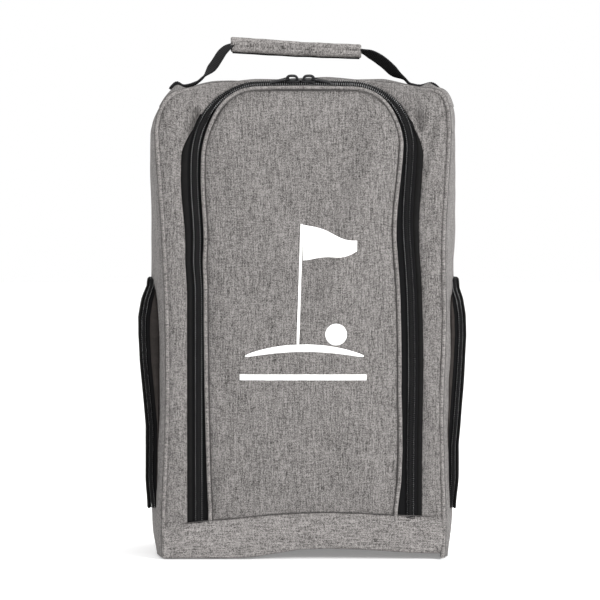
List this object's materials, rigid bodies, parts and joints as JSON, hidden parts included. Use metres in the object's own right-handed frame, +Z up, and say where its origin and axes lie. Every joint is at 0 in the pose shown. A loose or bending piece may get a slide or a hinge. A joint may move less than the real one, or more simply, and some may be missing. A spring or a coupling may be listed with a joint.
{
  "type": "golf shoe bag",
  "caption": "Upright soft bag for a pair of golf shoes, with a zipped front panel that folds down, zipped side pockets and a padded top handle.",
  "frame": {"origin": "on the base plane, under the middle of the bag", "axes": "+Z up through the handle, the zipped front panel faces -Y, +X to the right of someone facing the front"},
  "size_m": [0.2536, 0.1291, 0.3932],
  "materials": {
    "heather_fabric": "grey heather woven polyester with a soft matt finish",
    "black_fabric": "plain black woven polyester",
    "lining": "smooth thin polyester lining",
    "foam": "soft closed cell foam sheet",
    "zip_tape": "black woven zip tape",
    "zip_coil": "black nylon coil",
    "black_metal": "black painted die cast zinc",
    "board": "stiff black plastic board",
    "webbing": "black ribbed polyester webbing",
    "pocket_mesh": "black spacer mesh"
  },
  "bodies": {
    "bag": {"back_panel": "heather_fabric", "back_foam": "foam", "back_lining": "lining", "side_panel_left": "heather_fabric", "side_panel_right": "heather_fabric", "side_lining_left": "lining", "side_lining_right": "lining", "top_panel": "heather_fabric", "top_lining": "lining", "base_panel": "heather_fabric", "base_board": "board", "base_lining": "lining", "base_band": "heather_fabric", "front_surround": "heather_fabric", "zip_strip": "black_fabric", "zip_tape_outer": "zip_tape", "zip_coil_outer": "zip_coil", "front_welt": "heather_fabric", "back_welt": "heather_fabric", "seam_tape_front": "zip_tape", "seam_tape_back": "zip_tape", "web_anchor_left": "webbing", "web_anchor_right": "webbing", "pocket_gusset_left": "black_fabric", "pocket_gusset_right": "black_fabric", "pocket_tape_outer_left": "zip_tape", "pocket_tape_outer_right": "zip_tape", "pocket_coil_outer_left": "zip_coil", "pocket_coil_outer_right": "zip_coil"},
    "front_flap": {"flap_panel": "heather_fabric", "flap_foam": "foam", "flap_lining": "lining", "flap_piping": "heather_fabric", "zip_tape_inner": "zip_tape", "zip_coil_inner": "zip_coil"},
    "main_slider_left": {"zip_slider_left": "black_metal"},
    "main_pull_left": {"zip_pull_left": "black_metal"},
    "pocket_door_left": {"pocket_cover_left": "pocket_mesh", "pocket_tape_inner_left": "zip_tape", "pocket_coil_inner_left": "zip_coil"},
    "side_slider_left": {"pocket_slider_left": "black_metal"},
    "side_pull_left": {"pocket_pull_left": "black_metal"},
    "main_slider_right": {"zip_slider_right": "black_metal"},
    "main_pull_right": {"zip_pull_right": "black_metal"},
    "pocket_door_right": {"pocket_cover_right": "pocket_mesh", "pocket_tape_inner_right": "zip_tape", "pocket_coil_inner_right": "zip_coil"},
    "side_slider_right": {"pocket_slider_right": "black_metal"},
    "side_pull_right": {"pocket_pull_right": "black_metal"},
    "handle": {"handle_web_left": "webbing", "handle_web_right": "webbing", "handle_grip": "heather_fabric", "handle_core": "foam"}
  },
  "joints": [
    {"name": "flap_hinge", "type": "hinge", "parent": "bag", "child": "front_flap", "pos_m": [0, -0.063, 0.0298], "axis": [1, 0, 0], "range_deg": [0, 93]},
    {"name": "zip_slide_left", "type": "slide", "parent": "bag", "child": "main_slider_left", "axis": [-1, 0, 0], "range_m": [0, 0.034]},
    {"name": "zip_pull_turn_left", "type": "hinge", "parent": "main_slider_left", "child": "main_pull_left", "pos_m": [-0.0109, -0.056, 0.36545], "axis": [0, 1, 0], "range_deg": [0, 120]},
    {"name": "pocket_hinge_left", "type": "hinge", "parent": "bag", "child": "pocket_door_left", "pos_m": [-0.1158, 0, 0.046], "axis": [0, -1, 0], "range_deg": [0, 80]},
    {"name": "pocket_slide_left", "type": "slide", "parent": "bag", "child": "side_slider_left", "axis": [-0.0558, 0, 0.9984], "range_m": [0, 0.05]},
    {"name": "pocket_pull_turn_left", "type": "hinge", "parent": "side_slider_left", "child": "side_pull_left", "pos_m": [-0.11491, 0.05045, 0.11075], "axis": [0.9984, 0, 0.0558], "range_deg": [0, 120]},
    {"name": "zip_slide_right", "type": "slide", "parent": "bag", "child": "main_slider_right", "axis": [1, 0, 0], "range_m": [0, 0.034]},
    {"name": "zip_pull_turn_right", "type": "hinge", "parent": "main_slider_right", "child": "main_pull_right", "pos_m": [0.0069, -0.056, 0.36545], "axis": [0, -1, 0], "range_deg": [0, 120]},
    {"name": "pocket_hinge_right", "type": "hinge", "parent": "bag", "child": "pocket_door_right", "pos_m": [0.1158, 0, 0.046], "axis": [0, 1, 0], "range_deg": [0, 80]},
    {"name": "pocket_slide_right", "type": "slide", "parent": "bag", "child": "side_slider_right", "axis": [0.0558, 0, 0.9984], "range_m": [0, 0.05]},
    {"name": "pocket_pull_turn_right", "type": "hinge", "parent": "side_slider_right", "child": "side_pull_right", "pos_m": [0.11491, 0.05045, 0.11075], "axis": [0.9984, 0, -0.0558], "range_deg": [0, 120]},
    {"name": "handle_swing", "type": "hinge", "parent": "bag", "child": "handle", "pos_m": [0, 0, 0.3652], "axis": [1, 0, 0], "range_deg": [-75, 75]}
  ]
}
